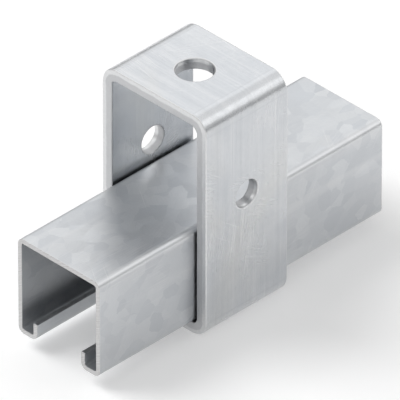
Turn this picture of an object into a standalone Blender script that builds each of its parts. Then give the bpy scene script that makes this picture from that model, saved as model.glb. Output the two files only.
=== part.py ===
# Hanger bracket of bent steel plate, hooked round a length of lipped strut channel.
# +X runs along the channel, +Y across it and +Z up. The origin lies under the middle of the channel,
# on the surface that the bracket's two lips stand on. All sizes are in metres.

import math

import bmesh
import bpy
from mathutils import Matrix, Vector

# Strut channel, roll-formed with its open side down
CHANNEL_WIDTH = 0.0413
CHANNEL_HEIGHT = 0.0413
CHANNEL_WALL = 0.0019
SLOT_WIDTH = 0.0222  # clear opening between the two in-turned lips
LIP_HEIGHT = 0.0071  # of each in-turned lip, from the flange's underside
BACK_BEND = 0.0009  # inside radius of the two bends beside the plain back
MOUTH_BEND = 0.0010  # inside radius of the four bends of the flanges and lips
NEAR_OVERHANG = 0.0480  # length of channel past the bracket at -X
FAR_OVERHANG = 0.0540  # and at +X
SAW_BREAK = 0.0002  # broken edge round each sawn end

# Bracket, one strip of plate bent four times and punched
PLATE = 0.00476
STRIP_WIDTH = 0.0413  # of the plate, along the channel
PLATE_BEND = 0.0024  # inside radius of all four bends
HEADROOM = 0.04413  # clear height from the channel's back to the plate above it
HOOK_SETBACK = 0.0017  # from the channel's slot edge back to the tip of the bracket's lip
TOP_HOLE = 0.0143
SIDE_HOLE = 0.0111
BOLT_ABOVE_BACK = 0.0023  # from the channel's back up to the lower edge of the side holes
EDGE_BREAK = 0.0004  # rounding of the sheared and punched edges

# Fits between the two pieces
SIDE_CLEARANCE = 0.00075  # from each side of the channel to the bracket's leg
SEAT_GAP = 0.0003  # between the channel's flanges and the lips that they rest on

# Facets
BEND_STEPS = 8
HOLE_STEPS = 48
BREAK_STEPS = 2
QUARTER_TURN = math.radians(90)
SHARP_ANGLE = math.radians(35)
CUTTER_EXCESS = 0.004  # how far a hole cutter stands out past the plate on each side

# Sizes that follow from those above
CHANNEL_LENGTH = NEAR_OVERHANG + STRIP_WIDTH + FAR_OVERHANG
FLANGE_WIDTH = (CHANNEL_WIDTH - SLOT_WIDTH) / 2
CHANNEL_FLOOR = PLATE + SEAT_GAP
CHANNEL_TOP = CHANNEL_FLOOR + CHANNEL_HEIGHT
BRACKET_CENTRE = (NEAR_OVERHANG - FAR_OVERHANG) / 2
BRACKET_WIDTH = CHANNEL_WIDTH + 2 * (SIDE_CLEARANCE + PLATE)
BRACKET_HEIGHT = CHANNEL_TOP + HEADROOM + PLATE
HOOK_REACH = PLATE + SIDE_CLEARANCE + FLANGE_WIDTH - HOOK_SETBACK
SIDE_HOLE_HEIGHT = CHANNEL_TOP + BOLT_ABOVE_BACK + SIDE_HOLE / 2


def clear_scene():
    for item in list(bpy.data.objects):
        bpy.data.objects.remove(item, do_unlink=True)


def steel(name, colour, roughness):
    material = bpy.data.materials.new(name)
    material.use_nodes = True
    shader = material.node_tree.nodes["Principled BSDF"]
    shader.inputs["Base Color"].default_value = (*colour, 1)
    shader.inputs["Metallic"].default_value = 1
    shader.inputs["Roughness"].default_value = roughness
    return material


def left_of(direction):
    return Vector((-direction.y, direction.x))


def bent_line(start, heading, legs, radii):
    """Follow the middle of a bent sheet in its section plane, where x is across and y is up.

    The line goes straight for each length in legs and turns left by a right angle between two legs,
    round the middle radii given in radii. Returns each station's point and the direction to its left.
    """
    point = Vector(start)
    direction = Vector(heading)
    stations = [(point, left_of(direction))]
    for number, leg in enumerate(legs):
        point = point + direction * leg
        stations.append((point, left_of(direction)))
        if number == len(radii):
            break
        centre = point + left_of(direction) * radii[number]
        spoke = point - centre
        for step in range(1, BEND_STEPS + 1):
            turn = Matrix.Rotation(QUARTER_TURN * step / BEND_STEPS, 2)
            stations.append((centre + turn @ spoke, left_of(turn @ direction)))
        point = stations[-1][0]
        direction = left_of(direction)
    return stations


def swept_sheet(name, stations, thickness, length, material):
    """A solid sheet of one thickness along its bent line, and of one length along X."""
    bm = bmesh.new()
    rings = []
    for point, left in stations:
        inner = point + left * thickness / 2
        outer = point - left * thickness / 2
        corners = [
            (-length / 2, inner.x, inner.y),
            (-length / 2, outer.x, outer.y),
            (length / 2, outer.x, outer.y),
            (length / 2, inner.x, inner.y),
        ]
        rings.append([bm.verts.new(corner) for corner in corners])
    for ring, following in zip(rings, rings[1:]):
        for side in range(4):
            after = (side + 1) % 4
            bm.faces.new((ring[side], ring[after], following[after], following[side]))
    bm.faces.new(rings[0])
    bm.faces.new(rings[-1])
    bmesh.ops.recalc_face_normals(bm, faces=bm.faces)
    mesh = bpy.data.meshes.new(name)
    bm.to_mesh(mesh)
    bm.free()
    mesh.shade_smooth()
    mesh.set_sharp_from_angle(angle=SHARP_ANGLE)
    mesh.materials.append(material)
    sheet = bpy.data.objects.new(name, mesh)
    bpy.context.collection.objects.link(sheet)
    return sheet


def break_edges(sheet, width):
    """Round the edges that shears, punches and saws leave, but not the facets of the bends."""
    bevel = sheet.modifiers.new("edge_break", "BEVEL")
    bevel.width = width
    bevel.segments = BREAK_STEPS
    bevel.limit_method = "ANGLE"
    bevel.angle_limit = SHARP_ANGLE


def punch(sheet, name, diameter, depth, centre, turned_about_x):
    """Cut a round hole of the given depth through a sheet, with its axis along Z or along Y."""
    bm = bmesh.new()
    bmesh.ops.create_cone(
        bm,
        cap_ends=True,
        segments=HOLE_STEPS,
        radius1=diameter / 2,
        radius2=diameter / 2,
        depth=depth,
    )
    mesh = bpy.data.meshes.new(name)
    bm.to_mesh(mesh)
    bm.free()
    cutter = bpy.data.objects.new(name, mesh)
    bpy.context.collection.objects.link(cutter)
    cutter.parent = sheet
    cutter.location = centre
    cutter.rotation_euler.x = turned_about_x
    cutter.hide_render = True
    cutter.display_type = "WIRE"
    cut = sheet.modifiers.new(name, "BOOLEAN")
    cut.operation = "DIFFERENCE"
    cut.solver = "EXACT"
    cut.object = cutter


def strut_channel():
    """Plain back, two sides, two narrow flanges and two lips turned back up into the channel."""
    mouth_bend = min(MOUTH_BEND, FLANGE_WIDTH / 2 - CHANNEL_WALL)
    back_corner = BACK_BEND + CHANNEL_WALL
    mouth_corner = mouth_bend + CHANNEL_WALL
    back_radius = BACK_BEND + CHANNEL_WALL / 2
    mouth_radius = mouth_bend + CHANNEL_WALL / 2
    lip = LIP_HEIGHT - mouth_corner
    flange = FLANGE_WIDTH - 2 * mouth_corner
    side = CHANNEL_HEIGHT - mouth_corner - back_corner
    back = CHANNEL_WIDTH - 2 * back_corner
    stations = bent_line(
        start=((SLOT_WIDTH + CHANNEL_WALL) / 2, LIP_HEIGHT),
        heading=(0, -1),
        legs=[lip, flange, side, back, side, flange, lip],
        radii=[mouth_radius, mouth_radius, back_radius, back_radius, mouth_radius, mouth_radius],
    )
    finish = steel("galvanised_strip", (0.60, 0.615, 0.635), 0.36)
    channel = swept_sheet("strut_channel", stations, CHANNEL_WALL, CHANNEL_LENGTH, finish)
    break_edges(channel, SAW_BREAK)
    channel.location = (0, 0, CHANNEL_FLOOR)
    return channel


def hanger_bracket():
    """Flat top, two legs down the channel's sides, and a lip under each of its flanges."""
    corner = PLATE_BEND + PLATE
    radius = PLATE_BEND + PLATE / 2
    lip = HOOK_REACH - corner
    leg = BRACKET_HEIGHT - 2 * corner
    top = BRACKET_WIDTH - 2 * corner
    stations = bent_line(
        start=(BRACKET_WIDTH / 2 - HOOK_REACH, PLATE / 2),
        heading=(1, 0),
        legs=[lip, leg, top, leg, lip],
        radii=[radius] * 4,
    )
    finish = steel("zinc_plated_plate", (0.65, 0.66, 0.67), 0.34)
    bracket = swept_sheet("hanger_bracket", stations, PLATE, STRIP_WIDTH, finish)
    punch(
        bracket,
        "top_hole",
        TOP_HOLE,
        depth=PLATE + 2 * CUTTER_EXCESS,
        centre=(0, 0, BRACKET_HEIGHT - PLATE / 2),
        turned_about_x=0,
    )
    punch(
        bracket,
        "side_holes",
        SIDE_HOLE,
        depth=BRACKET_WIDTH + 2 * CUTTER_EXCESS,
        centre=(0, 0, SIDE_HOLE_HEIGHT),
        turned_about_x=QUARTER_TURN,
    )
    break_edges(bracket, EDGE_BREAK)
    bracket.location = (BRACKET_CENTRE, 0, 0)
    return bracket


def main():
    clear_scene()
    stand = bpy.data.objects.new("channel_in_bracket", None)
    bpy.context.collection.objects.link(stand)
    for piece in (hanger_bracket(), strut_channel()):
        piece.parent = stand


main()
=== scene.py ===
import math
from collections import namedtuple

import bmesh
import bpy
import numpy as np
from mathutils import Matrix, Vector


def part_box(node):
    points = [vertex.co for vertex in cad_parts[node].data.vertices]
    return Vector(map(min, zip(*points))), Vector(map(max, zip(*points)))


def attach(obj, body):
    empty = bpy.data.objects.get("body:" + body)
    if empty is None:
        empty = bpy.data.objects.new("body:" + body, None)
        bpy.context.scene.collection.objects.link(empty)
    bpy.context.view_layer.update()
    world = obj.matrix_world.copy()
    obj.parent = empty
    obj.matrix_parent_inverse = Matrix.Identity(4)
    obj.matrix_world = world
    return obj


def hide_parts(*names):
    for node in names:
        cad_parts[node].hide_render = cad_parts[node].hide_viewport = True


# Looks of a strut hanger bracket on a length of strut channel. All sizes are in metres.
# Each piece is made as the real one is: a flat blank with its holes and broken edges, bent along a line.
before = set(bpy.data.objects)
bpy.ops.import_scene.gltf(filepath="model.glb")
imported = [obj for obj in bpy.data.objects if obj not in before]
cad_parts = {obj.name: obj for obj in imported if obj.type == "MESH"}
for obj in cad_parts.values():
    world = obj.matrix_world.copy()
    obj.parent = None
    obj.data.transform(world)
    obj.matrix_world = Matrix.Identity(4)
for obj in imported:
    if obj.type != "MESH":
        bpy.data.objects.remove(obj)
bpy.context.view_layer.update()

# Sheet sizes that the boxes of the two solids don't give
PLATE = 0.00476
PLATE_BEND = 0.0024  # inside radius of the bracket's bends
CHANNEL_WALL = 0.0019
SLOT_WIDTH = 0.0222
LIP_HEIGHT = 0.0071
BACK_BEND = 0.0009  # inside radius of the channel's bends beside its back
MOUTH_BEND = 0.0010  # and of those of its flanges and lips
HOOK_SETBACK = 0.0017  # from the channel's slot edge back to the tip of the bracket's lip
TOP_HOLE = 0.0143
SIDE_HOLE = 0.0111
BOLT_ABOVE_BACK = 0.0023  # from the channel's back up to the lower edge of the side holes

# Sizes that follow from those above and from the solids
bracket_low, bracket_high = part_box("hanger_bracket")
channel_low, channel_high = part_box("strut_channel")
STRIP_WIDTH = bracket_high.x - bracket_low.x
BRACKET_WIDTH = bracket_high.y - bracket_low.y
BRACKET_HEIGHT = bracket_high.z - bracket_low.z
BRACKET_CENTRE = (bracket_high.x + bracket_low.x) / 2
CHANNEL_LENGTH = channel_high.x - channel_low.x
CHANNEL_WIDTH = channel_high.y - channel_low.y
CHANNEL_HEIGHT = channel_high.z - channel_low.z
FLANGE_WIDTH = (CHANNEL_WIDTH - SLOT_WIDTH) / 2
HOOK_REACH = (BRACKET_WIDTH - CHANNEL_WIDTH) / 2 + FLANGE_WIDTH - HOOK_SETBACK
SIDE_HOLE_HEIGHT = channel_high.z + BOLT_ABOVE_BACK + SIDE_HOLE / 2

# Fine form
PLATE_BREAK = 0.00042  # rounding of the plate's edges
SAW_BREAK = 0.00022  # rounding of the channel's edges
BULGE = 0.00028  # how far the plate's edge swells at the inside of a bend
BULGE_DEPTH = 0.0055  # how far in from the edge it starts
PLATE_WAVE = 0.00005  # depth of the shallow waves in the flats, which go inwards from the outer faces
CHANNEL_WAVE = 0.000025
WAVES = ((1.0, 95, 60, 0.4), (0.7, 41, -130, 2.1), (0.5, 210, 170, 4.0))  # height, rate each way, start

# Punched holes
PUNCH_ENTRY = 0.0005  # rounding of the rim where the punch went in
PUNCH_TAPER = 0.0002  # how much wider the hole is where the punch came out
SMOOTH_SHARE = 0.42  # part of the plate's thickness down to which the punch cut smoothly
TEAR_SHARE = 0.06  # part over which the wall then starts to widen
TEAR_WIDENING = 0.35  # share of the taper that is reached by then
EXIT_EDGE = 0.0003  # height of the last, steeper part of the wall
EXIT_WIDENING = 0.8  # share of the taper that is reached where that part starts

# Faces
SUPPORT = 0.00035  # width of the narrow faces beside each edge and bend, which keep the flats flat
COLLAR = 0.001  # width of the ring of faces round a hole
PUNCH_ZONE = 0.011  # half the side of the square of plate round a hole
PUNCH_SIDES = 16  # faces along each side of that square
RING_SHARES = (0.33, 0.67)  # places of two rings of points between the collar and the square
BREAK_STEPS = 4
PLATE_BEND_STEPS = 20
CHANNEL_BEND_STEPS = 10
FLAT_STEP = 0.0026
PLATE_SIDE_STEP = 0.0018
CHANNEL_LONG_STEP = 0.005

# Wear along the edges, from 0 on a flat to 1
EDGE_WEAR = 1.0
RIM_WEAR = 0.6

# Fine patterns, as rates per metre. A pair is along and across the marks.
SHEAR_LINES = (60, 1700)
SCRATCHES = (45, 3400)
RUBBED_LINES = (60, 2600)
THROUGH_SHEET = 1000.0  # from the outer face to the inner one, so that the two don't look alike
SAW_LINES = 2400.0
SAW_CENTRE = Vector((0, -0.11, -0.16))  # of the blade, from the channel's origin
CRYSTAL_TURN = 3.1  # radians through which the zinc crystals' fibres lean

# Light and camera
WHITE = (1, 1, 1, 1)
FLOOR_HALF = 6.0
FLOOR_COLOUR = (0.8, 0.8, 0.8, 1)
FLOOR_LIFT = 0.30  # what the camera and shiny surfaces see on top of the light that the floor reflects
SKY_LIGHT = 0.42  # strength of the world as a lamp
HORIZON_LEVEL = 0.45  # how bright metal sees the world at the horizon
WHITE_ABOVE = 0.7  # sine of the elevation from which metal sees it fully white
LAMP_DISTANCE = 5.0
CAMERA_TARGET = Vector((-0.0040, -0.0035, 0.0406))
TOWARD_CAMERA = Vector((-1, -1, 1)).normalized()
CAMERA_DISTANCE = 5.96
CAMERA_LENS = 1500
CAMERA_SENSOR = 36
CAMERA_REACH = (0.1, 20)


# Bent sheets

# A straight or a bend: the length of line before it, its own length, first point, heading and radius
Run = namedtuple("Run", "before length point heading radius")


def left_of(direction):
    return np.array((-direction[1], direction[0]))


def turned(vector, angles):
    """The vector turned left by each of the angles, one row each."""
    cos, sin = np.cos(angles), np.sin(angles)
    return np.stack((cos * vector[0] - sin * vector[1], sin * vector[0] + cos * vector[1]), axis=1)


def bent_runs(start, heading, legs, radii):
    """The straights of a sheet's middle line in its section plane, and the left-hand bends between them."""
    runs = []
    point, direction, before = np.array(start, float), np.array(heading, float), 0.0
    for number, leg in enumerate(legs):
        runs.append(Run(before, leg, point, direction, None))
        point = point + direction * leg
        before += leg
        if number == len(radii):
            break
        radius = radii[number]
        runs.append(Run(before, radius * math.pi / 2, point, direction, radius))
        point = point + (direction + left_of(direction)) * radius
        direction = left_of(direction)
        before += radius * math.pi / 2
    return runs


def place(runs, along):
    """Where places along the blank come to lie in the section plane, and which way is left there."""
    spots = np.zeros((len(along), 2))
    lefts = np.zeros((len(along), 2))
    for run in runs:
        inside = (along >= run.before) & ((along < run.before + run.length) | (run is runs[-1]))
        way = (along[inside] - run.before)[:, None]
        if run.radius is None:
            spots[inside] = run.point + way * run.heading
            lefts[inside] = left_of(run.heading)
        else:
            angles = way[:, 0] / run.radius
            centre = run.point + left_of(run.heading) * run.radius
            spots[inside] = centre + turned(run.point - centre, angles)
            lefts[inside] = turned(left_of(run.heading), angles)
    return spots, lefts


def grid_lines(first, spans):
    """The places of a grid's lines from the first on. Each span (length, count) is cut in count parts."""
    places = [first]
    for length, count in spans:
        start = places[-1]
        places += [start + length * step / count for step in range(1, count + 1)]
    return places


def plain_span(length, step):
    return (length, max(1, math.ceil(length / step)))


def arc_span(radius, steps):
    return (radius * math.pi / 2, steps)


def leg_spans(length, hole_at=None):
    """A flat leg between two narrow support faces, with a punch zone centred hole_at along it."""
    support = (SUPPORT, 1)
    if hole_at is None:
        return [support, plain_span(length - 2 * SUPPORT, FLAT_STEP), support]
    before = plain_span(hole_at - PUNCH_ZONE - SUPPORT, FLAT_STEP)
    after = plain_span(length - hole_at - PUNCH_ZONE - SUPPORT, FLAT_STEP)
    return [support, before, (2 * PUNCH_ZONE, PUNCH_SIDES), after, support]


def quarter_profile(radius):
    """Outward and downward shares of a rounded edge, from the face to the wall."""
    angles = [math.pi / 2 * step / BREAK_STEPS for step in range(BREAK_STEPS + 1)]
    return [(radius * math.sin(a), radius * (1 - math.cos(a))) for a in angles]


def edge_profile(thickness, radius):
    """(outset, height) of a cut edge from the outer face round to the inner face."""
    half = thickness / 2
    top = [(out, -half + down) for out, down in quarter_profile(radius)]
    return top + [(out, -height) for out, height in reversed(top)]


def punched_profile(thickness):
    """(widening, height) of a punched hole's wall: rounded entry, straight land, then a torn, wider exit."""
    half = thickness / 2
    entry = [(PUNCH_ENTRY - out, -half + down) for out, down in quarter_profile(PUNCH_ENTRY)]
    tear = -half + SMOOTH_SHARE * thickness
    return entry + [
        (0, tear),
        (TEAR_WIDENING * PUNCH_TAPER, tear + TEAR_SHARE * thickness),
        (EXIT_WIDENING * PUNCH_TAPER, half - EXIT_EDGE),
        (PUNCH_TAPER, half),
    ]


class Blank:
    """A flat sheet with holes, as points (along, across, height) and faces, before it is bent.

    Its outer face is at minus half the thickness and its inner face at plus half. A face's kind names its
    material.
    """

    def __init__(self, along, across, thickness, edge_radius):
        self.along = along
        self.across = across
        self.thickness = thickness
        self.half = thickness / 2
        self.edge_radius = edge_radius
        self.points = []
        self.wear = []
        self.faces = []
        self.kinds = []
        self.holes = []

    def point(self, along, across, height, wear=0.0):
        self.points.append((along, across, height))
        self.wear.append(wear)
        return len(self.points) - 1

    def face(self, corners, kind):
        self.faces.append(corners)
        self.kinds.append(kind)

    def band(self, rings, kinds):
        """Faces between each closed ring of points and the next, with a kind for each step round."""
        for ring, following in zip(rings, rings[1:]):
            for step, kind in enumerate(kinds):
                after = (step + 1) % len(ring)
                self.face((ring[step], ring[after], following[after], following[step]), kind)

    def punch(self, centre, diameter, profile):
        """Note a hole, which build makes, by its place along the blank and the profile of its wall."""
        first = int(np.argmin([abs(a - (centre - PUNCH_ZONE)) for a in self.along]))
        start = int(np.argmin([abs(a + PUNCH_ZONE) for a in self.across]))
        zone = (first, first + PUNCH_SIDES, start, start + PUNCH_SIDES)
        self.holes.append((centre, diameter / 2, profile, zone))

    def build(self):
        outer, inner = self.sheet(-self.half), self.sheet(self.half)
        self.close_edges(outer, inner)
        for hole in self.holes:
            self.close_hole(outer, inner, *hole)

    def sheet(self, height):
        """One side of the blank, without the squares round its holes, as a point for each grid index."""
        zones = [hole[-1] for hole in self.holes]
        grid = {}
        for i, along in enumerate(self.along):
            for j, across in enumerate(self.across):
                if not any(i0 < i < i1 and j0 < j < j1 for i0, i1, j0, j1 in zones):
                    grid[i, j] = self.point(along, across, height)
        for i in range(len(self.along) - 1):
            for j in range(len(self.across) - 1):
                if not any(i0 <= i < i1 and j0 <= j < j1 for i0, i1, j0, j1 in zones):
                    self.face((grid[i, j], grid[i + 1, j], grid[i + 1, j + 1], grid[i, j + 1]), "face")
        return grid

    @staticmethod
    def ring_round(i0, i1, j0, j1):
        """Grid indices round a rectangle of cells, and the side that each step runs along."""
        ring = [(i, j0) for i in range(i0, i1)]
        ring += [(i1, j) for j in range(j0, j1)]
        ring += [(i, j1) for i in range(i1, i0, -1)]
        ring += [(i0, j) for j in range(j1, j0, -1)]
        sides = (["long"] * (i1 - i0) + ["end"] * (j1 - j0)) * 2
        return ring, sides

    def close_edges(self, outer, inner):
        """The rounded edges and cut walls round the whole blank."""
        last_i, last_j = len(self.along) - 1, len(self.across) - 1
        ring, sides = self.ring_round(0, last_i, 0, last_j)
        for spot in ring:
            self.wear[outer[spot]] = RIM_WEAR
            self.wear[inner[spot]] = RIM_WEAR
        rings = [[outer[spot] for spot in ring]]
        for out, height in edge_profile(self.thickness, self.edge_radius)[1:-1]:
            loop = []
            for i, j in ring:
                along = self.along[i] + out * ((i == last_i) - (i == 0))
                across = self.across[j] + out * ((j == last_j) - (j == 0))
                loop.append(self.point(along, across, height, EDGE_WEAR))
            rings.append(loop)
        rings.append([inner[spot] for spot in ring])
        self.band(rings, sides)

    def close_hole(self, outer, inner, centre, radius, profile, zone):
        """The faces from a hole's square in to its rim on both sides, and the wall between the rims."""
        ring, _ = self.ring_round(*zone)
        count = len(ring)
        angles = [-3 * math.pi / 4 + 2 * math.pi * step / count for step in range(count)]

        def circle(size, height, wear=0.0):
            return [
                self.point(centre + size * math.cos(a), size * math.sin(a), height, wear) for a in angles
            ]

        def between(near, far, share):
            ways = [(np.array(self.points[a]), np.array(self.points[b])) for a, b in zip(near, far)]
            return [self.point(*(start + (end - start) * share)) for start, end in ways]

        rims = []
        for grid, (widening, height) in ((outer, profile[0]), (inner, profile[-1])):
            rim_radius = radius + widening
            rim = circle(rim_radius, height, RIM_WEAR)
            support = circle(rim_radius + SUPPORT, height)
            collar = circle(rim_radius + COLLAR, height)
            square = [grid[spot] for spot in ring]
            middle = [between(collar, square, share) for share in RING_SHARES]
            self.band([rim, support, collar, *middle, square], ["face"] * count)
            rims.append(rim)
        walls = [circle(radius + widening, height, EDGE_WEAR) for widening, height in profile[1:-1]]
        self.band([rims[0], *walls, rims[1]], ["punched"] * count)


def near_bends(runs, along):
    """How far into a bend each length along the blank is, from 0 on the flats to 1 at a bend's middle."""
    weight = np.zeros(len(along))
    for run in runs:
        if run.radius is not None:
            share = np.clip((along - run.before) / run.length, 0, 1)
            weight = np.maximum(weight, np.sin(share * math.pi))
    return weight


def near_tangents(runs, along):
    """1 on the lines where a bend meets a flat, falling to 0 within a support face."""
    weight = np.zeros(len(along))
    for run in runs:
        if run.radius is not None:
            for line in (run.before, run.before + run.length):
                weight = np.maximum(weight, 1 - np.clip(np.abs(along - line) / SUPPORT, 0, 1))
    return weight


def waves(along, across):
    """Shallow unevenness of rolled and bent plate, from 0 to 1, made of a few slow sines."""
    total = sum(h * np.sin(along * a + across * b + start) for h, a, b, start in WAVES)
    return 0.5 + total / (2 * sum(wave[0] for wave in WAVES))


def bent_places(blank, runs, bulge, wave, centre_x):
    """Where the blank's points come to lie when it is bent.

    At each bend the sheet's edges swell by bulge on the inside and draw in as much on the outside.
    """
    along, across, height = np.array(blank.points).T
    bends = near_bends(runs, along)
    edge = max(blank.across) + blank.edge_radius
    from_edge = np.clip((np.abs(across) - (edge - BULGE_DEPTH)) / BULGE_DEPTH, 0, 1)
    swell = bulge * bends * (height / blank.half) * from_edge**2
    spots, lefts = place(runs, along)
    lift = height + wave * waves(along, across) * (1 - bends)
    section = spots + lefts * lift[:, None]
    return np.column_stack((centre_x + across + np.sign(across) * swell, section))


def bend(blank, runs, name, materials, bulge, wave, centre_x):
    """A finished blank bent along its line, as an object that keeps each point's place on the blank."""
    mesh = bpy.data.meshes.new(name)
    mesh.from_pydata(bent_places(blank, runs, bulge, wave, centre_x).tolist(), [], blank.faces)
    for material in materials.values():
        mesh.materials.append(material)
    order = list(materials)
    mesh.polygons.foreach_set("material_index", [order.index(kind) for kind in blank.kinds])
    flat = np.array(blank.points)
    places = mesh.attributes.new("blank", "FLOAT_VECTOR", "POINT")
    places.data.foreach_set("vector", flat.astype(np.float32).ravel())
    marks = {
        "wear": np.array(blank.wear),
        "bend": near_bends(runs, flat[:, 0]),
        "crease": near_tangents(runs, flat[:, 0]),
    }
    for label, values in marks.items():
        attribute = mesh.attributes.new(label, "FLOAT", "POINT")
        attribute.data.foreach_set("value", values.astype(np.float32))
    work = bmesh.new()
    work.from_mesh(mesh)
    bmesh.ops.recalc_face_normals(work, faces=work.faces)
    work.to_mesh(mesh)
    work.free()
    mesh.shade_smooth()
    piece = bpy.data.objects.new(name, mesh)
    bpy.context.scene.collection.objects.link(piece)
    return piece


# Materials

class Nodes:
    """A node tree that is built up by calls. A value is a number, a colour, a vector or a socket."""

    # Sockets of a Mix node's two colours and its result, whose names repeat in it
    FIRST_COLOUR, SECOND_COLOUR, MIXED_COLOUR = 6, 7, 2

    def __init__(self, tree):
        self.tree = tree

    def feed(self, target, value):
        """Link a socket to an input, or set a plain value on it."""
        if isinstance(value, bpy.types.NodeSocket):
            self.tree.links.new(value, target)
        else:
            target.default_value = value

    def node(self, kind, **inputs):
        """A new node with its inputs given by their names, with _ for a space."""
        node = self.tree.nodes.new("ShaderNode" + kind)
        for label, value in inputs.items():
            self.feed(node.inputs[label.replace("_", " ")], value)
        return node

    def compute(self, operation, first, second):
        node = self.node("Math")
        node.operation = operation
        self.feed(node.inputs[0], first)
        self.feed(node.inputs[1], second)
        return node.outputs[0]

    def product(self, *factors):
        result = factors[0]
        for factor in factors[1:]:
            result = self.compute("MULTIPLY", result, factor)
        return result

    def total(self, *shares):
        """The sum of (value, weight) pairs and single values."""
        result = None
        for share in shares:
            term = self.product(*share) if isinstance(share, tuple) else share
            result = term if result is None else self.compute("ADD", result, term)
        return result

    def larger(self, *values):
        result = values[0]
        for value in values[1:]:
            result = self.compute("MAXIMUM", result, value)
        return result

    def ramp(self, value, low, high, to_low=0.0, to_high=1.0):
        """The value from low to high taken to another range, smoothly and without going past it."""
        node = self.node(
            "MapRange", Value=value, From_Min=low, From_Max=high, To_Min=to_low, To_Max=to_high
        )
        node.interpolation_type = "SMOOTHSTEP"
        return node.outputs[0]

    def mix(self, share, first, second):
        """The second colour over the first by a share."""
        node = self.tree.nodes.new("ShaderNodeMix")
        node.data_type = "RGBA"
        self.feed(node.inputs["Factor"], share)
        for number, colour in ((self.FIRST_COLOUR, first), (self.SECOND_COLOUR, second)):
            self.feed(node.inputs[number], (*colour, 1) if isinstance(colour, tuple) else colour)
        return node.outputs[self.MIXED_COLOUR]

    def layered(self, colour, *layers):
        """The colour under layers of others, each given with its share, from the lowest up."""
        for share, other in layers:
            colour = self.mix(share, colour, other)
        return colour

    def seen_directly(self):
        """1 for what the camera and shiny surfaces see, and 0 for what lights the scene."""
        path = self.node("LightPath")
        rays = ("Is Camera Ray", "Is Glossy Ray", "Is Transmission Ray")
        return self.larger(*(path.outputs[ray] for ray in rays))


class Metal(Nodes):
    """A bare or plated metal whose colour, roughness and relief are built up from procedural nodes.

    Patterns lie on the blank, so they run round the bends as they do on the real sheet.
    """

    def __init__(self, name):
        self.material = bpy.data.materials.new(name)
        self.material.use_nodes = True
        super().__init__(self.material.node_tree)
        self.shader = self.tree.nodes["Principled BSDF"]
        self.shader.inputs["Metallic"].default_value = 1
        self.normal = None

    def attribute(self, name):
        node = self.node("Attribute")
        node.attribute_name = name
        return node

    def mark(self, name):
        return self.attribute(name).outputs["Fac"]

    def blank(self, along=1.0, across=1.0, turn=0.0):
        """The place on the blank, turned in its plane by degrees and then scaled."""
        place = self.attribute("blank").outputs["Vector"]
        if turn:
            turning = self.node("VectorRotate", Vector=place, Angle=math.radians(turn))
            turning.rotation_type = "Z_AXIS"
            place = turning.outputs[0]
        mapping = self.node("Mapping", Vector=place, Scale=(along, across, THROUGH_SHEET))
        return mapping.outputs[0]

    def depth(self, thickness):
        """-1 on the sheet's outer face and 1 on its inner face."""
        place = self.attribute("blank").outputs["Vector"]
        return self.compute("DIVIDE", self.node("SeparateXYZ", Vector=place).outputs["Z"], thickness / 2)

    def noise(self, place, detail, roughness=0.5, distortion=0.0, scale=1.0):
        grain = {"Scale": scale, "Detail": detail, "Roughness": roughness, "Distortion": distortion}
        node = self.node("TexNoise", Vector=place, **grain)
        return node.outputs["Fac"]

    def relief(self, height, depth):
        """Bump of a given depth in metres, on top of any before it."""
        node = self.node("Bump", Height=height, Distance=depth, Strength=1.0)
        if self.normal is not None:
            self.feed(node.inputs["Normal"], self.normal)
        self.normal = node.outputs[0]

    def ragged(self, place, scale, amount):
        """The place pushed about by a noise, for broken outlines."""
        push = self.node("TexNoise", Vector=place, Scale=scale, Detail=3.0)
        centred = self.node("VectorMath")
        centred.operation = "SUBTRACT"
        self.feed(centred.inputs[0], push.outputs["Color"])
        self.feed(centred.inputs[1], (0.5, 0.5, 0.5))
        moved = self.node("VectorMath")
        moved.operation = "MULTIPLY_ADD"
        self.feed(moved.inputs[0], centred.outputs[0])
        self.feed(moved.inputs[1], (amount, amount, 0.0))
        self.feed(moved.inputs[2], place)
        return moved.outputs[0]

    def hairlines(self, turn, share):
        """Short scratches in one direction, on a small share of long thin cells."""
        cells = self.node("TexVoronoi", Vector=self.blank(*SCRATCHES, turn), Scale=1.0)
        spot = self.ramp(cells.outputs["Distance"], 0.15, 0.42, 1.0, 0.0)
        pick = self.node("SeparateColor", Color=cells.outputs["Color"])
        return self.product(spot, self.compute("GREATER_THAN", pick.outputs[0], 1 - share))

    def scratches(self, share, turns):
        return self.larger(*(self.hairlines(turn, share) for turn in turns))

    def scuffs(self, turn, scale, amount):
        """Patches of fine rubbed lines in one direction. A higher amount makes fewer."""
        patch = self.ramp(self.noise(self.blank(scale, scale, turn), 3.0), amount, amount + 0.12)
        rubbed = self.ramp(self.noise(self.blank(*RUBBED_LINES, turn), 2.0), 0.45, 0.7)
        return self.product(patch, rubbed)

    def finish(self, colour, roughness):
        self.feed(self.shader.inputs["Base Color"], colour)
        self.feed(self.shader.inputs["Roughness"], roughness)
        if self.normal is not None:
            self.feed(self.shader.inputs["Normal"], self.normal)
        return self.material


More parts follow.
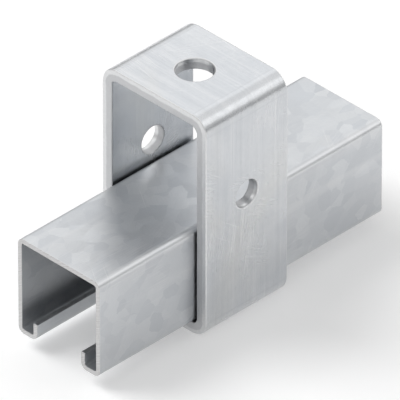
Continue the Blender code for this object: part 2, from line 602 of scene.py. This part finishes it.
def zinc_face():
    """Bright zinc over the rolled faces of the plate: satin, streaked along the strip, and handled."""
    metal = Metal("zinc_face")
    clouds = metal.noise(metal.blank(40, 46), 3.0, 0.55, 0.7)
    warmth = metal.noise(metal.blank(17, 24), 2.0, 0.5, 1.0)
    mottle = metal.noise(metal.blank(600, 600), 3.0, 0.6)
    drawn = metal.noise(metal.blank(6, 400), 5.0, 0.68)
    grain = metal.noise(metal.blank(36, 2300), 4.0, 0.65)
    scratched = metal.scratches(0.016, (12, 71, 128))
    rubbed = metal.larger(metal.scuffs(8, 34, 0.55), metal.scuffs(-62, 41, 0.58))
    worn = metal.ramp(metal.total((metal.mark("wear"), 1.0), (mottle, 0.5)), 0.55, 1.1)
    outside = metal.ramp(metal.depth(PLATE), 0.5, -0.5)
    stretched = metal.product(metal.mark("bend"), outside)
    cracked = metal.ramp(metal.noise(metal.blank(1100, 300), 3.0), 0.4, 0.65)
    stretch_marks = metal.product(stretched, cracked)

    colour = metal.layered(
        metal.mix(metal.ramp(clouds, 0.32, 0.68), (0.57, 0.59, 0.615), (0.635, 0.65, 0.67)),
        (metal.ramp(warmth, 0.45, 0.75, 0.0, 0.5), (0.655, 0.65, 0.625)),
        (metal.ramp(mottle, 0.42, 0.72, 0.0, 0.18), (0.50, 0.52, 0.55)),
        (metal.ramp(drawn, 0.47, 0.72, 0.0, 0.45), (0.73, 0.735, 0.745)),
        (metal.ramp(drawn, 0.45, 0.27, 0.0, 0.36), (0.48, 0.50, 0.525)),
        (metal.ramp(grain, 0.5, 0.75, 0.0, 0.35), (0.49, 0.505, 0.53)),
        (metal.product(rubbed, 0.5), (0.77, 0.775, 0.78)),
        (metal.product(scratched, 0.6), (0.84, 0.84, 0.84)),
        (metal.product(metal.mark("crease"), 0.35), (0.50, 0.51, 0.53)),
        (metal.product(stretched, 0.35), (0.74, 0.745, 0.75)),
        (metal.product(worn, 0.5), (0.80, 0.80, 0.80)),
    )
    satin = metal.total((mottle, 0.07), (grain, 0.14), (clouds, 0.08))
    roughness = metal.total(0.09, satin, (rubbed, 0.12), (stretch_marks, 0.06), (worn, -0.03))
    metal.relief(clouds, 0.00012)
    metal.relief(metal.total((mottle, 0.5), (grain, 0.5)), 0.000013)
    metal.relief(stretch_marks, 0.000012)
    metal.relief(scratched, -0.000008)
    return metal.finish(colour, roughness)


def zinc_cut(name, along, across):
    """Zinc over a sheared edge: a smooth burnished land by the outer face, then a torn zone.

    The two scales, along and across the blank, set which way the fine lines of the shear run.
    """
    metal = Metal(name)
    ragged = metal.noise(metal.blank(260, 260), 4.0, 0.6)
    torn = metal.ramp(metal.total((metal.depth(PLATE), 1.0), (ragged, 0.5)), -0.05, 0.12)
    tears = metal.noise(metal.blank(1500, 1500), 4.0, 0.65)
    drawn = metal.noise(metal.blank(along, across), 2.0)
    colour = metal.layered(
        metal.mix(torn, (0.72, 0.725, 0.73), (0.60, 0.605, 0.615)),
        (metal.ramp(tears, 0.35, 0.75, 0.0, 0.35), (0.52, 0.53, 0.545)),
    )
    roughness = metal.total(0.27, (torn, 0.17), (tears, 0.10), (ragged, 0.05))
    metal.relief(ragged, 0.00006)
    metal.relief(metal.product(torn, tears), 0.000045)
    metal.relief(drawn, 0.00001)
    return metal.finish(colour, roughness)


def strip_face():
    """Galvanised strip: a faint pattern of zinc crystals under long streaks from the forming rolls."""
    metal = Metal("strip_face")
    crystals = metal.node("TexVoronoi", Vector=metal.ragged(metal.blank(185, 165), 2.6, 0.32), Scale=1.0)
    crystal = metal.node("SeparateColor", Color=crystals.outputs["Color"])
    tint, shine, lean = crystal.outputs[:3]
    turn = metal.product(lean, CRYSTAL_TURN)
    leaning = metal.node("VectorRotate", Vector=metal.blank(1, 1), Angle=turn)
    leaning.rotation_type = "Z_AXIS"
    fibres = metal.node("Mapping", Vector=leaning.outputs[0], Scale=(260.0, 2300.0, 0.0))
    feather = metal.noise(fibres.outputs[0], 3.0, 0.6)
    streaks = metal.noise(metal.blank(1100, 9), 3.0, 0.6)
    bands = metal.noise(metal.blank(160, 3), 2.0)
    clouds = metal.noise(metal.blank(30, 24), 3.0, 0.55, 0.5)
    bent = metal.mark("bend")
    scratched = metal.scratches(0.010, (90, 97, 33))
    rubbed = metal.larger(metal.scuffs(90, 30, 0.55), metal.scuffs(71, 36, 0.60))
    rolled = metal.product(metal.ramp(bent, 0.05, 0.7), metal.ramp(streaks, 0.3, 0.65))
    inside = metal.ramp(metal.depth(CHANNEL_WALL), -0.5, 0.5)
    gloss = metal.product(metal.compute("SUBTRACT", shine, 0.5), metal.ramp(bent, 0.3, 0.0))

    colour = metal.layered(
        metal.mix(tint, (0.55, 0.57, 0.595), (0.64, 0.655, 0.67)),
        (metal.ramp(clouds, 0.35, 0.75, 0.0, 0.4), (0.55, 0.56, 0.575)),
        (metal.ramp(feather, 0.4, 0.75, 0.0, 0.25), (0.51, 0.53, 0.56)),
        (metal.ramp(bands, 0.5, 0.8, 0.0, 0.4), (0.72, 0.725, 0.73)),
        (metal.product(rubbed, 0.4), (0.77, 0.77, 0.775)),
        (metal.product(rolled, 0.5), (0.76, 0.765, 0.77)),
        (metal.product(scratched, 0.5), (0.82, 0.82, 0.82)),
        (metal.product(metal.mark("wear"), 0.4), (0.74, 0.74, 0.74)),
    )
    sheen = metal.total((gloss, 0.10), (feather, 0.10), (streaks, 0.08), (clouds, 0.06))
    roughness = metal.total(0.25, sheen, (inside, 0.16), (rolled, -0.03), (rubbed, 0.08))
    metal.relief(clouds, 0.0001)
    metal.relief(streaks, 0.000012)
    metal.relief(scratched, -0.000008)
    return metal.finish(colour, roughness)


def sawn_end():
    """Bare steel with the fine, slightly curved lines of a circular saw."""
    metal = Metal("sawn_end")
    place = metal.node("TexCoord").outputs["Object"]
    saw = metal.node("Mapping", Vector=place, Location=-SAW_CENTRE)
    away = metal.node("VectorMath")
    away.operation = "LENGTH"
    metal.feed(away.inputs[0], saw.outputs[0])
    rings = metal.node("CombineXYZ", X=metal.product(away.outputs["Value"], SAW_LINES))
    marks = metal.noise(rings.outputs[0], 2.0, 0.6)
    stain = metal.noise(place, 4.0, 0.6, scale=160.0)
    colour = metal.layered(
        metal.mix(metal.ramp(marks, 0.3, 0.7), (0.50, 0.495, 0.49), (0.66, 0.66, 0.66)),
        (metal.ramp(stain, 0.5, 0.8, 0.0, 0.4), (0.44, 0.43, 0.42)),
        (metal.ramp(metal.mark("wear"), 0.8, 0.2, 0.0, 0.6), (0.72, 0.725, 0.73)),
    )
    roughness = metal.total(0.26, (marks, 0.12), (stain, 0.14))
    metal.relief(marks, 0.00003)
    return metal.finish(colour, roughness)


def slit_edge():
    """The strip's slit edges, at the tips of the channel's lips."""
    metal = Metal("slit_edge")
    ragged = metal.noise(metal.blank(300, 300), 4.0, 0.6)
    tears = metal.noise(metal.blank(1500, 700), 4.0, 0.65)
    colour = metal.mix(metal.ramp(tears, 0.3, 0.7), (0.66, 0.665, 0.67), (0.54, 0.545, 0.55))
    roughness = metal.total(0.32, (tears, 0.14), (ragged, 0.06))
    metal.relief(metal.total((tears, 0.5), (ragged, 0.5)), 0.00003)
    return metal.finish(colour, roughness)


# Pieces

def make_bracket():
    """Lip, leg, top, leg and lip of one strip, from the tip of the lip under the +Y flange on."""
    corner = PLATE_BEND + PLATE
    radius = PLATE_BEND + PLATE / 2
    lip = HOOK_REACH - corner
    leg = BRACKET_HEIGHT - 2 * corner
    top = BRACKET_WIDTH - 2 * corner
    legs = [lip, leg, top, leg, lip]
    runs = bent_runs((BRACKET_WIDTH / 2 - HOOK_REACH, PLATE / 2), (1, 0), legs, [radius] * 4)
    hole_up = SIDE_HOLE_HEIGHT - corner
    arc = [arc_span(radius, PLATE_BEND_STEPS)]
    tip = leg_spans(lip - PLATE_BREAK)
    spans = tip + arc + leg_spans(leg, hole_up) + arc + leg_spans(top, top / 2) + arc
    spans += leg_spans(leg, leg - hole_up) + arc + tip
    along = grid_lines(PLATE_BREAK, spans)
    support = (SUPPORT, 1)
    side = plain_span(STRIP_WIDTH / 2 - PUNCH_ZONE - PLATE_BREAK - SUPPORT, PLATE_SIDE_STEP)
    zone = (2 * PUNCH_ZONE, PUNCH_SIDES)
    across = grid_lines(-STRIP_WIDTH / 2 + PLATE_BREAK, [support, side, zone, side, support])

    blank = Blank(along, across, PLATE, PLATE_BREAK)
    profile = punched_profile(PLATE)
    flats = [run.before for run in runs if run.radius is None]
    blank.punch(flats[1] + hole_up, SIDE_HOLE, profile)
    blank.punch(flats[2] + top / 2, TOP_HOLE, profile)
    blank.punch(flats[3] + leg - hole_up, SIDE_HOLE, profile)
    blank.build()
    materials = {
        "face": zinc_face(),
        "long": zinc_cut("sheared_side", *SHEAR_LINES),
        "end": zinc_cut("sheared_tip", *reversed(SHEAR_LINES)),
        "punched": zinc_cut("punched_wall", *SHEAR_LINES),
    }
    return bend(blank, runs, "bent_bracket", materials, BULGE, PLATE_WAVE, BRACKET_CENTRE)


def make_channel():
    """Lip, flange, side, back, side, flange and lip of one strip, from the upper edge of the +Y lip on."""
    back_corner = BACK_BEND + CHANNEL_WALL
    mouth_corner = MOUTH_BEND + CHANNEL_WALL
    back_radius = BACK_BEND + CHANNEL_WALL / 2
    mouth_radius = MOUTH_BEND + CHANNEL_WALL / 2
    lip = LIP_HEIGHT - mouth_corner
    flange = FLANGE_WIDTH - 2 * mouth_corner
    side = CHANNEL_HEIGHT - mouth_corner - back_corner
    back = CHANNEL_WIDTH - 2 * back_corner
    start = ((SLOT_WIDTH + CHANNEL_WALL) / 2, channel_low.z + LIP_HEIGHT)
    legs = [lip, flange, side, back, side, flange, lip]
    radii = [mouth_radius, mouth_radius, back_radius, back_radius, mouth_radius, mouth_radius]
    runs = bent_runs(start, (0, -1), legs, radii)
    spans = leg_spans(lip - SAW_BREAK)
    for leg, radius in zip(legs[1:-1], radii):
        spans += [arc_span(radius, CHANNEL_BEND_STEPS)] + leg_spans(leg)
    spans += [arc_span(mouth_radius, CHANNEL_BEND_STEPS)] + leg_spans(lip - SAW_BREAK)
    along = grid_lines(SAW_BREAK, spans)
    support = (SUPPORT, 1)
    middle = plain_span(CHANNEL_LENGTH - 2 * SAW_BREAK - 2 * SUPPORT, CHANNEL_LONG_STEP)
    across = grid_lines(-CHANNEL_LENGTH / 2 + SAW_BREAK, [support, middle, support])

    blank = Blank(along, across, CHANNEL_WALL, SAW_BREAK)
    blank.build()
    materials = {"face": strip_face(), "long": sawn_end(), "end": slit_edge()}
    return bend(blank, runs, "lipped_channel", materials, 0, CHANNEL_WAVE, 0)


bracket = make_bracket()
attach(bracket, "root")
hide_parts("hanger_bracket")

channel = make_channel()
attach(channel, "root")
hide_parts("strut_channel")


# Floor, light and camera

def make_floor():
    """A white floor that keeps the object's shadow."""
    corners = [(x * FLOOR_HALF, y * FLOOR_HALF, 0) for x, y in ((-1, -1), (1, -1), (1, 1), (-1, 1))]
    mesh = bpy.data.meshes.new("floor")
    mesh.from_pydata(corners, [], [(0, 1, 2, 3)])
    floor = bpy.data.objects.new("floor", mesh)
    bpy.context.scene.collection.objects.link(floor)
    material = bpy.data.materials.new("floor_white")
    material.use_nodes = True
    nodes = Nodes(material.node_tree)
    nodes.tree.nodes.clear()
    paper = nodes.node("BsdfDiffuse", Color=FLOOR_COLOUR)
    lift = nodes.node("Emission", Color=WHITE, Strength=nodes.product(nodes.seen_directly(), FLOOR_LIFT))
    both = nodes.node("AddShader")
    nodes.feed(both.inputs[0], paper.outputs[0])
    nodes.feed(both.inputs[1], lift.outputs[0])
    nodes.node("OutputMaterial", Surface=both.outputs[0])
    mesh.materials.append(material)


def make_world():
    """Soft even light. The camera sees white, and metal sees white overhead, dimming to the horizon."""
    world = bpy.data.worlds.new("studio")
    bpy.context.scene.world = world
    world.use_nodes = True
    nodes = Nodes(world.node_tree)
    nodes.tree.nodes.clear()
    way = nodes.node("SeparateXYZ", Vector=nodes.node("TexCoord").outputs["Generated"])
    dome = nodes.ramp(way.outputs["Z"], 0.0, WHITE_ABOVE, HORIZON_LEVEL, 1.0)
    level = nodes.larger(nodes.node("LightPath").outputs["Is Camera Ray"], dome)
    light = nodes.node("Background", Color=WHITE, Strength=SKY_LIGHT)
    seen = nodes.node("Background", Color=WHITE, Strength=level)
    sky = nodes.node("MixShader")
    nodes.feed(sky.inputs[0], nodes.seen_directly())
    nodes.feed(sky.inputs[1], light.outputs[0])
    nodes.feed(sky.inputs[2], seen.outputs[0])
    nodes.node("OutputWorld", Surface=sky.outputs[0])


def softbox(name, azimuth, elevation, size, radiance, mirrored=True):
    """A square lamp that faces the object. If it isn't mirrored, it casts shadows with no glare on metal."""
    a, e = math.radians(azimuth), math.radians(elevation)
    back = Vector((math.sin(a) * math.cos(e), -math.cos(a) * math.cos(e), math.sin(e)))
    lamp = bpy.data.lights.new(name, "AREA")
    lamp.shape = "SQUARE"
    lamp.size = size
    lamp.energy = radiance * math.pi * size**2
    item = bpy.data.objects.new(name, lamp)
    item.location = CAMERA_TARGET + back * LAMP_DISTANCE
    item.rotation_euler = back.to_track_quat("Z", "Y").to_euler()
    item.visible_camera = False
    item.visible_glossy = mirrored
    bpy.context.scene.collection.objects.link(item)


def make_camera():
    """A far camera with a very long lens, so that parallel edges look parallel in its isometric view."""
    data = bpy.data.cameras.new("camera")
    data.lens = CAMERA_LENS
    data.sensor_width = CAMERA_SENSOR
    data.clip_start, data.clip_end = CAMERA_REACH
    camera = bpy.data.objects.new("camera", data)
    camera.location = CAMERA_TARGET + TOWARD_CAMERA * CAMERA_DISTANCE
    camera.rotation_euler = (-TOWARD_CAMERA).to_track_quat("-Z", "Y").to_euler()
    bpy.context.scene.collection.objects.link(camera)
    bpy.context.scene.camera = camera


make_floor()
make_world()
softbox("key", azimuth=205, elevation=52, size=3.0, radiance=5.4, mirrored=False)
softbox("back_right", azimuth=135, elevation=36, size=3.4, radiance=0.30)
softbox("back_left", azimuth=225, elevation=36, size=2.4, radiance=0.45)
softbox("front_right", azimuth=45, elevation=36, size=2.4, radiance=0.42)
softbox("front_left", azimuth=315, elevation=36, size=2.4, radiance=0.30)
make_camera()
bpy.context.scene.view_settings.view_transform = "Standard"
